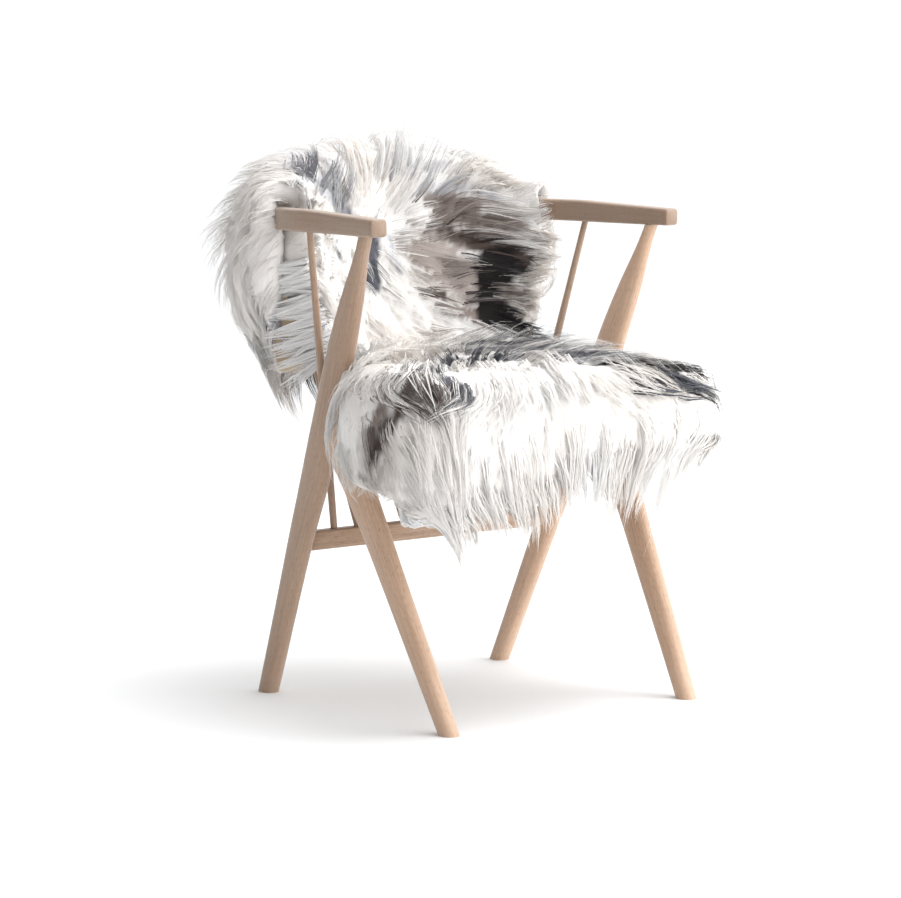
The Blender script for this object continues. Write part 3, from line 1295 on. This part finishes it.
# Locks that stand out from the coat: how many, the first and last place, then the way they point,
# their length, how far out their tips lie as a share of the wool's depth, and their colour
LONG_LOCKS = (
    (12, (0.12, 0.130), (0.62, 0.116), (1.0, -0.12), 0.105, 0.80, BLACK_WOOL),
    (7, (0.55, 0.118), (0.80, 0.104), (1.0, -0.40), 0.095, 0.80, BLACK_WOOL),
    (5, (0.25, 0.112), (0.60, 0.106), (0.75, -0.66), 0.085, 1.04, SLATE_WOOL),
    (16, (-0.92, 0.030), (-1.00, 0.080), (-0.70, -0.70), 0.080, 0.85, WHITE_WOOL),
    (9, (-0.88, 0.766), (-0.44, 0.750), (-0.50, 0.40), 0.044, 1.26, SILVER_WOOL),
    (5, (-0.36, 0.740), (-0.18, 0.730), (-0.10, 0.40), 0.040, 1.12, SILVER_WOOL),
    (6, (0.05, 0.760), (0.26, 0.762), (0.12, 0.30), 0.036, 1.08, WHITE_WOOL),
    (6, (0.60, 0.745), (0.90, 0.755), (0.90, 0.30), 0.040, 1.05, CREAM_WOOL),
    (28, (-0.98, 0.505), (-1.03, 0.670), (-1.00, 0.06), 0.125, 0.50, WHITE_WOOL),
    (32, (-0.98, 0.510), (-1.03, 0.670), (-1.00, 0.02), 0.150, 0.90, WHITE_WOOL),
    (16, (-0.90, 0.340), (-0.98, 0.470), (-0.98, 0.10), 0.060, 1.05, WHITE_WOOL),
    (23, (-0.87, 0.306), (-0.98, 0.440), (-1.00, 0.05), 0.060, 1.60, WHITE_WOOL),
    (10, (-0.98, 0.742), (-1.00, 0.765), (-0.75, -0.65), 0.045, 0.60, WHITE_WOOL),
    (14, (-0.94, 0.690), (-0.97, 0.790), (-1.00, 0.05), 0.050, 0.95, WHITE_WOOL),
    (18, (-1.00, 0.790), (-1.04, 0.960), (-1.00, 0.20), 0.110, 0.35, WHITE_WOOL),
    (26, (-1.00, 0.920), (-1.00, 0.990), (-0.85, 0.50), 0.125, 0.45, ASH_WOOL),
    (20, (0.94, 0.560), (1.00, 0.700), (1.00, 0.00), 0.060, 1.05, CREAM_WOOL),
    (16, (0.88, 0.460), (1.00, 0.550), (1.00, -0.10), 0.066, 1.10, BLACK_WOOL),
)
HAIRS_IN_LONG_LOCK = 7
# Where such locks start as a share of the wool's depth, and how far their hairs have gathered at
# the tip
LONG_LOCK_START = 0.3
LONG_LOCK_PULL = 0.8
# How far the locks stray from their line, across and along, and the hairs from their lock, and how
# much the locks' ways differ
LOCKS_STRAY = (0.02, 0.006)
HAIRS_STRAY = (0.020, 0.005)
WAYS_STRAY = 0.12
# Seeds of the first row's places, hairs and middle lines
LONG_LOCK_SEED = 900
LONG_HAIR_SEED = 70
LONG_MIDDLE_SEED = 90


def special_locks():
    """Guide lines, outward ways and colours of the locks in the table."""
    lines, outward, tints = [], [], []
    t = np.linspace(0, 1, GUIDE_POINTS)[None, :, None]
    for row, (count, first, last, way, length, high, code) in enumerate(LONG_LOCKS):
        rng = np.random.default_rng(LONG_LOCK_SEED + row)
        rise = (LONG_LOCK_START, high)
        part = np.repeat((np.arange(count) + rng.random(count)) / count, HAIRS_IN_LONG_LOCK)
        middle = np.repeat(rng.standard_normal((count, 2)) * LOCKS_STRAY, HAIRS_IN_LONG_LOCK, axis=0)
        turn = np.repeat(rng.standard_normal((count, 2)) * WAYS_STRAY, HAIRS_IN_LONG_LOCK, axis=0)
        heading = unit(np.array(way) + turn)
        place = np.array(first) + part[:, None] * (np.array(last) - np.array(first)) + middle
        beside = place + rng.standard_normal(place.shape) * HAIRS_STRAY
        hairs, out, _ = guide_lines(*beside.T, LONG_HAIR_SEED + row, length, rise, 0.0, heading)
        centres = guide_lines(*place.T, LONG_MIDDLE_SEED + row, length, rise, 0.0, heading)[0]
        lines.append(hairs + (centres - hairs) * LONG_LOCK_PULL * t)
        outward.append(out)
        tints.append(np.broadcast_to(linear(code), lines[-1].shape))
    return np.concatenate(lines), np.concatenate(outward), np.concatenate(tints)


# Gap between pieces that touch
GAP = 0.0003
# The legs: where they stand, where the rear ones end under the arms, where a pair meets
ARM_UNDERSIDE = 0.670
REAR_FOOT = (0.216, 0.154)
FRONT_FOOT = (0.217, -0.265)
POST_TOP = (0.259, -0.137)
LEG_JOINT_Z = 0.432
# The bow: its bend, its height at the back, where the arms start and at their ends, its thickness
BOW_HALF_WIDTH = 0.2515
BOW_DEPTH = 0.238
BOW_BACK_HEIGHT = 0.055
BOW_ARM_HEIGHT = 0.031
BOW_TIP_HEIGHT = 0.024
BOW_ARM_HALF_THICKNESS = 0.0130
BOW_BACK_HALF_THICKNESS = 0.0110
BOW_EDGE_RADIUS = 0.0045
# Share of the bend over which it loses height, and in how many steps the bend is made
BOW_HEIGHT_END = 0.74
BOW_STEPS = 56
# The arms: where they end, how far they flare out, where they are cut across, and their rounded
# ends as a share of their length and as a depth
ARM_FRONT_Y = -0.176
ARM_FLARE = 0.0135
ARM_SECTIONS = (0.1, 0.2, 0.3, 0.4, 0.5, 0.6, 0.7, 0.8, 0.88, 0.94, 0.975, 0.992, 1.0)
ARM_END_START = 0.975
ARM_END_LENGTH = 0.025
ARM_END_ROUNDING = 0.0042
# The lower rail, and the spindles between it and the bow
LOWER_RAIL_Z = 0.2295
LOWER_RAIL_HEIGHT = 0.027
LOWER_RAIL_Y = 0.060
SPINDLES = 9
SPINDLE_FOOT_SPAN = 0.334
SPINDLE_END_SPACING = 0.120
SPINDLE_RINGS = 15
SPINDLE_SIDES = 20
# Upright sections of the legs: height, half thickness, half depth, shift towards the other leg
REAR_LEG = np.array((
    (0.000, 0.0138, 0.0150, 0.0000),
    (0.110, 0.0139, 0.0180, 0.0000),
    (0.220, 0.0140, 0.0215, 0.0000),
    (0.330, 0.0142, 0.0275, 0.0035),
    (0.400, 0.0144, 0.0295, 0.0040),
    (0.460, 0.0142, 0.0280, 0.0020),
    (0.530, 0.0138, 0.0245, 0.0000),
    (0.585, 0.0122, 0.0195, 0.0000),
    (0.630, 0.0102, 0.0120, 0.0000),
    (0.650, 0.0097, 0.0092, 0.0000),
    (0.670, 0.0095, 0.0085, 0.0000),
))
FRONT_LEG = np.array((
    (0.000, 0.0135, 0.0152, 0.0000),
    (0.120, 0.0138, 0.0205, 0.0000),
    (0.250, 0.0140, 0.0262, 0.0000),
    (0.320, 0.0141, 0.0315, 0.0015),
    (0.360, 0.0142, 0.0345, 0.0050),
    (0.400, 0.0142, 0.0290, 0.0020),
    (0.432, 0.0140, 0.0180, 0.0000),
))
# Spindle: share of its height, radius
SPINDLE = np.array(((0.0, 0.0050), (0.25, 0.0056), (0.5, 0.0058), (0.8, 0.0050), (1.0, 0.0046)))
# The legs' sections: height between two, points on each, and how square they are
LEG_STEP = 0.012
LEG_SIDES = 36
LEG_SQUARENESS = 2.35
# Edges that turn by more than this are drawn sharp
SOFT_EDGE = math.radians(38)


def add_grain(mesh, ring_size, rings):
    """A UV map in metres: U runs round each ring and V along the piece."""
    points = np.array(rings)
    around = np.linalg.norm(np.roll(points, -1, axis=1) - points, axis=2).mean(axis=0)
    around = np.concatenate(([0.0], np.cumsum(around)))
    middle = points.mean(axis=1)
    along = np.concatenate(([0.0], np.cumsum(np.linalg.norm(np.diff(middle, axis=0), axis=1))))
    layer = mesh.uv_layers.new(name="grain")
    for face in mesh.polygons:
        corners = [(vertex % ring_size, vertex // ring_size) for vertex in face.vertices]
        wraps = ring_size - 1 in (corner[0] for corner in corners)
        for loop, (place, ring) in zip(face.loop_indices, corners):
            if len(corners) != 4:
                layer.data[loop].uv = mesh.vertices[ring * ring_size + place].co.xy
                continue
            turned = ring_size if wraps and place == 0 else place
            layer.data[loop].uv = (around[turned], along[ring])


def loft(name, rings, material):
    """A closed piece through rings of equally many points, in the plan's coordinates."""
    rings = [np.array(ring) + PLAN_SHIFT for ring in rings]
    size, last = len(rings[0]), (len(rings) - 1) * len(rings[0])
    faces = [tuple(range(size))[::-1], tuple(range(last, last + size))]
    for low in range(0, last, size):
        for place in range(size):
            after = (place + 1) % size
            faces.append((low + place, low + after, low + size + after, low + size + place))
    made = mesh_object(name, np.concatenate(rings), faces, material)
    add_grain(made.data, size, rings)
    made.data.set_sharp_from_angle(angle=SOFT_EDGE)
    return faced_out(made)


def rounded_ring(centre, half_x, half_y, sides, squareness=2.0):
    """Points of a level ring round centre: an ellipse, or squarer with a larger squareness."""
    ring = []
    for index in range(sides):
        angle = 2 * math.pi * (index + 0.5) / sides
        across, along = math.cos(angle), math.sin(angle)
        x = math.copysign(abs(across) ** (2.0 / squareness), across) * half_x
        y = math.copysign(abs(along) ** (2.0 / squareness), along) * half_y
        ring.append((centre[0] + x, centre[1] + y, centre[2]))
    return ring


def leg_rings(table, foot, top, top_z, side, pull, extra=0.0):
    """Rings of a leg from its foot to a place at height top_z.

    pull is 1 or -1, towards the other leg of the pair, and extra makes the leg thicker all round.
    """
    height = table[-1, 0]
    rings = []
    for z in np.linspace(0, height, int(height / LEG_STEP)):
        _, thick, deep, shift = between_rows(table[:, 0], table, z)
        share = z / top_z
        x = foot[0] + (top[0] - foot[0]) * share
        y = foot[1] + (top[1] - foot[1]) * share
        place = (side * x, y + pull * shift, min(z, ARM_UNDERSIDE - GAP))
        rings.append(rounded_ring(place, thick + extra, deep + extra, LEG_SIDES, LEG_SQUARENESS))
    return rings


def cope(piece, cutter):
    """Cuts the piece to fit round the cutter, which is removed."""
    coping = piece.modifiers.new("coping", "BOOLEAN")
    coping.operation = "DIFFERENCE"
    coping.solver = "EXACT"
    coping.object = cutter
    cut = finished_mesh(piece)
    piece.modifiers.remove(coping)
    piece.data = cut
    bpy.data.objects.remove(cutter, do_unlink=True)


def make_legs(wood):
    """Each rear leg runs on up as a post, and each front leg is coped to the rear one."""
    made = []
    joint = [foot + (top - foot) * LEG_JOINT_Z / ARM_UNDERSIDE for foot, top in zip(REAR_FOOT, POST_TOP)]
    for which, side in (("near", -1), ("far", 1)):
        rear = (REAR_LEG, REAR_FOOT, POST_TOP, ARM_UNDERSIDE, side, -1)
        made.append((loft(f"fine_rear_leg_{which}", leg_rings(*rear), wood), f"rear_leg_{which}"))
        cutter = loft("cutter", leg_rings(*rear, extra=GAP), wood)
        front_rings = leg_rings(FRONT_LEG, FRONT_FOOT, joint, LEG_JOINT_Z, side, 1)
        front = loft(f"fine_front_leg_{which}", front_rings, wood)
        cope(front, cutter)
        made.append((front, f"front_leg_{which}"))
    return made


def bow_path():
    """Places along the bow from the near arm's end to the far one's: x, y, height, rounding."""
    half = []
    for index in range(BOW_STEPS + 1):
        share = index / BOW_STEPS
        angle = math.pi / 2 * share
        lost = min(share / BOW_HEIGHT_END, 1.0) ** 2
        height = BOW_BACK_HEIGHT - (BOW_BACK_HEIGHT - BOW_ARM_HEIGHT) * lost
        half.append((BOW_HALF_WIDTH * math.sin(angle), BOW_DEPTH * math.cos(angle), height, 0.0))
    for share in ARM_SECTIONS:
        near_end = max((share - ARM_END_START) / ARM_END_LENGTH, 0)
        rounding = (1 - math.sqrt(max(1 - near_end**2, 0))) * ARM_END_ROUNDING
        height = BOW_ARM_HEIGHT + (BOW_TIP_HEIGHT - BOW_ARM_HEIGHT) * share
        half.append((BOW_HALF_WIDTH + ARM_FLARE * share**1.5, ARM_FRONT_Y * share, height, rounding))
    return [(-x, y, height, rounding) for x, y, height, rounding in reversed(half[1:])] + half


def bow_section(x, y, along, low, high, wide):
    """A section across the bow at (x, y), with its four corners rounded."""
    section = []
    for across, up, turn in ((1, 0, -90), (1, 1, 0), (-1, 1, 90), (-1, 0, 180)):
        for part in range(0, 91, 18):
            angle = math.radians(turn + part)
            level = high - BOW_EDGE_RADIUS if up else low + BOW_EDGE_RADIUS
            a = across * (wide - BOW_EDGE_RADIUS) + BOW_EDGE_RADIUS * math.cos(angle)
            b = level + BOW_EDGE_RADIUS * math.sin(angle)
            section.append((x + along.y * a, y - along.x * a, ARM_UNDERSIDE + b))
    return section


def make_bow(wood):
    """Arms and back in one bent piece with soft edges, flat below and taller towards the back."""
    path = bow_path()
    rings = []
    for index, (x, y, height, rounding) in enumerate(path):
        before, after = path[max(index - 1, 0)], path[min(index + 1, len(path) - 1)]
        along = Vector((after[0] - before[0], after[1] - before[1])).normalized()
        thick = BOW_ARM_HALF_THICKNESS
        thick += (BOW_BACK_HALF_THICKNESS - BOW_ARM_HALF_THICKNESS) * max(y, 0) / BOW_DEPTH
        rings.append(bow_section(x, y, along, rounding, height - rounding, thick - rounding))
    return [(loft("fine_bow_rail", rings, wood), "bow_rail")]


def spindle_tops():
    """Where the spindles meet the bow: evenly spaced round it, but for a wider gap at each end."""
    angles = np.linspace(-math.pi / 2, math.pi / 2, 401)
    xs, ys = BOW_HALF_WIDTH * np.sin(angles), BOW_DEPTH * np.cos(angles)
    walked = np.concatenate(([0.0], np.cumsum(np.hypot(np.diff(xs), np.diff(ys)))))
    first, last = SPINDLE_END_SPACING, walked[-1] - SPINDLE_END_SPACING
    wanted = [0.0, *np.linspace(first, last, SPINDLES - 2), walked[-1]]
    return list(zip(np.interp(wanted, walked, xs), np.interp(wanted, walked, ys)))


def make_spindles(wood):
    """Turned spindles that fan out from the lower rail to the bow."""
    foot_z = LOWER_RAIL_Z + LOWER_RAIL_HEIGHT / 2 + GAP
    top_z = ARM_UNDERSIDE - GAP
    made = []
    for index, top in enumerate(spindle_tops()):
        foot_x = SPINDLE_FOOT_SPAN * (index / (SPINDLES - 1) - 0.5)
        rings = []
        for share in np.linspace(0, 1, SPINDLE_RINGS):
            radius = between_rows(SPINDLE[:, 0], SPINDLE, share)[1]
            x = foot_x + (top[0] - foot_x) * share
            y = LOWER_RAIL_Y + (top[1] - LOWER_RAIL_Y) * share
            z = foot_z + (top_z - foot_z) * share
            rings.append(rounded_ring((x, y, z), radius, radius, SPINDLE_SIDES))
        made.append((loft(f"fine_spindle_{index + 1}", rings, wood), f"spindle_{index + 1}"))
    return made


STRAIGHT_PIECES = (
    "lower_rail",
    "seat_board",
    "side_rail_near",
    "side_rail_far",
    "cross_rail_front",
    "cross_rail_rear",
)


def merged_copy(name, wood):
    """A copy of a solid's mesh with its loose triangles joined, in wood."""
    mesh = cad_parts[name].data.copy()
    mesh.materials.clear()
    mesh.materials.append(wood)
    bm = bmesh.new()
    bm.from_mesh(mesh)
    bmesh.ops.remove_doubles(bm, verts=bm.verts, dist=1e-5)
    bm.to_mesh(mesh)
    bm.free()
    return mesh


def grain_on_longest_side(mesh):
    """A UV map in metres, with V along the mesh's longest side."""
    points = np.array([vertex.co for vertex in mesh.vertices])
    size = np.ptp(points, axis=0)
    long, other = int(np.argmax(size)), int(np.argsort(size)[1])
    thin = 3 - long - other
    layer = mesh.uv_layers.new(name="grain")
    for loop in mesh.loops:
        place = points[loop.vertex_index]
        layer.data[loop.index].uv = (place[other] + place[thin], place[long])


def dress_straight_pieces(wood):
    """The rails and the board keep their solids, with the grain along their longest side."""
    made = []
    for name in STRAIGHT_PIECES:
        mesh = merged_copy(name, wood)
        grain_on_longest_side(mesh)
        mesh.shade_smooth()
        mesh.set_sharp_from_angle(angle=SOFT_EDGE)
        made.append((add_object("fine_" + name, mesh), name))
    return made


# How light each board of the oak is beside the rest, which are 1
BOARD_TONES = {
    "bow_rail": 0.86,
    "front_leg_near": 1.50,
    "front_leg_far": 1.58,
    "rear_leg_near": 1.04,
    "rear_leg_far": 1.70,
    "lower_rail": 1.40,
}


def make_wood():
    """All wooden pieces, each in the place of its solid."""
    wood = soaped_oak()
    made = make_bow(wood) + make_legs(wood) + make_spindles(wood) + dress_straight_pieces(wood)
    for piece, node in made:
        tone = BOARD_TONES.get(node, 1.0)
        set_attribute(piece.data, "board_tone", "FLOAT", np.full(len(piece.data.vertices), tone))
        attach(piece, "root")
        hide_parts(node)


FLOOR_HALF = 15.0
FLOOR_GREY = "EDEDED"


def make_floor():
    """A pale matt floor."""
    material, tree = new_material("floor")
    shader = add_node(tree, "ShaderNodeBsdfPrincipled", inputs={
        "Base Color": (*linear(FLOOR_GREY), 1.0),
        "Roughness": 0.9,
        "Specular IOR Level": 0.1,
    })
    add_node(tree, "ShaderNodeOutputMaterial", inputs={"Surface": shader.outputs["BSDF"]})
    corners = [(x * FLOOR_HALF, y * FLOOR_HALF, 0.0) for x, y in ((-1, -1), (1, -1), (1, 1), (-1, 1))]
    mesh_object("floor", corners, [(0, 1, 2, 3)], material, smooth=False)


# The brighter side of the room, how bright it is, how fast the light falls off from there to the
# other side, and the plain white behind the chair
WINDOW_SIDE = Vector((0.76, -0.54, 0.36)).normalized()
WINDOW_LIGHT = 2.55
FALL_OFF = 1.5
BACKDROP = 1.05


def make_room():
    """A white room that is brighter towards its windows, on the far front side."""
    world = bpy.data.worlds.new("soft_room")
    bpy.context.scene.world = world
    bpy.context.scene.view_settings.view_transform = "Standard"
    world.use_nodes = True
    tree = world.node_tree
    tree.nodes.clear()
    way = add_node(tree, "ShaderNodeTexCoord")
    facing = add_node(tree, "ShaderNodeVectorMath", {"operation": "DOT_PRODUCT"}, {
        0: way.outputs["Generated"],
        1: WINDOW_SIDE,
    })
    towards = add_node(tree, "ShaderNodeMath", {"operation": "MULTIPLY_ADD", "use_clamp": True}, {
        0: facing.outputs["Value"],
        1: 0.5,
        2: 0.5,
    })
    falling = add_node(tree, "ShaderNodeMath", {"operation": "POWER"}, {
        0: towards.outputs["Value"],
        1: FALL_OFF,
    })
    window = add_node(tree, "ShaderNodeMath", {"operation": "MULTIPLY"}, {
        0: falling.outputs["Value"],
        1: WINDOW_LIGHT,
    })
    ray = add_node(tree, "ShaderNodeLightPath")
    strength = add_node(tree, "ShaderNodeMix", {"data_type": "FLOAT"}, {
        "Factor": ray.outputs["Is Camera Ray"],
        2: window.outputs["Value"],
        3: BACKDROP,
    })
    room = add_node(tree, "ShaderNodeBackground", inputs={
        "Color": (0.98, 0.99, 1.0, 1.0),
        "Strength": strength.outputs[0],
    })
    add_node(tree, "ShaderNodeOutputWorld", inputs={"Surface": room.outputs["Background"]})


# Soft square lamps, all aimed at the chair's middle: name, place, size, power in watts
LAMP_AIM = (0.0, 0.0, 0.4)
LAMPS = (
    ("key", (2.9, -2.6, 1.8), 2.8, 40.0),
    ("top", (0.7, -0.4, 3.0), 2.0, 46.0),
)


def make_lamps():
    """The soft lamps of the room."""
    for name, place, size, power in LAMPS:
        lamp = bpy.data.lights.new(name, "AREA")
        lamp.size = size
        lamp.energy = power
        made = add_object(name, lamp)
        made.location = place
        made.rotation_euler = (Vector(LAMP_AIM) - Vector(place)).to_track_quat("-Z", "Y").to_euler()


# The camera: its direction, distance and target, its focal length and the picture's size and
# optical centre in pixels, and the width of its sensor in millimetres
CAMERA_AZIMUTH = math.radians(-38.7)
CAMERA_HEIGHT_ANGLE = math.radians(6.43)
CAMERA_DISTANCE = 4.96
CAMERA_TARGET = (0.0214, -0.0032, 0.36)
FOCAL_PIXELS = 3451.0
PICTURE_SIZE = (901, 898)
PICTURE_CENTRE = (451.9, 442.3)
SENSOR_WIDTH = 36.0


def make_camera():
    """The camera at the photograph's place, fitted to the chair's feet, posts and arms."""
    flat = math.cos(CAMERA_HEIGHT_ANGLE)
    back = Vector((
        math.sin(CAMERA_AZIMUTH) * flat,
        -math.cos(CAMERA_AZIMUTH) * flat,
        math.sin(CAMERA_HEIGHT_ANGLE),
    ))
    lens = bpy.data.cameras.new("camera")
    lens.sensor_width = SENSOR_WIDTH
    lens.lens = FOCAL_PIXELS / PICTURE_SIZE[0] * SENSOR_WIDTH
    lens.shift_x = (PICTURE_SIZE[0] / 2 - PICTURE_CENTRE[0]) / PICTURE_SIZE[0]
    lens.shift_y = (PICTURE_CENTRE[1] - PICTURE_SIZE[1] / 2) / PICTURE_SIZE[0]
    made = add_object("camera", lens)
    made.location = Vector(CAMERA_TARGET) + back * CAMERA_DISTANCE
    made.rotation_euler = (-back).to_track_quat("-Z", "Y").to_euler()
    bpy.context.scene.camera = made


def make_sheepskin():
    """The pelt with its wool and hair, in the place of the skin's solids."""
    pelt = make_pelt()
    under = make_under_wool()
    wool = [under, *make_hair()]
    for piece in (pelt, *wool):
        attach(piece, "root")
    solids = [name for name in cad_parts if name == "sheepskin" or name.startswith("locks_")]
    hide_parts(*solids)
    return pelt, wool


make_camera()
make_floor()
make_room()
make_lamps()
skin, coat = make_sheepskin()
make_wood()
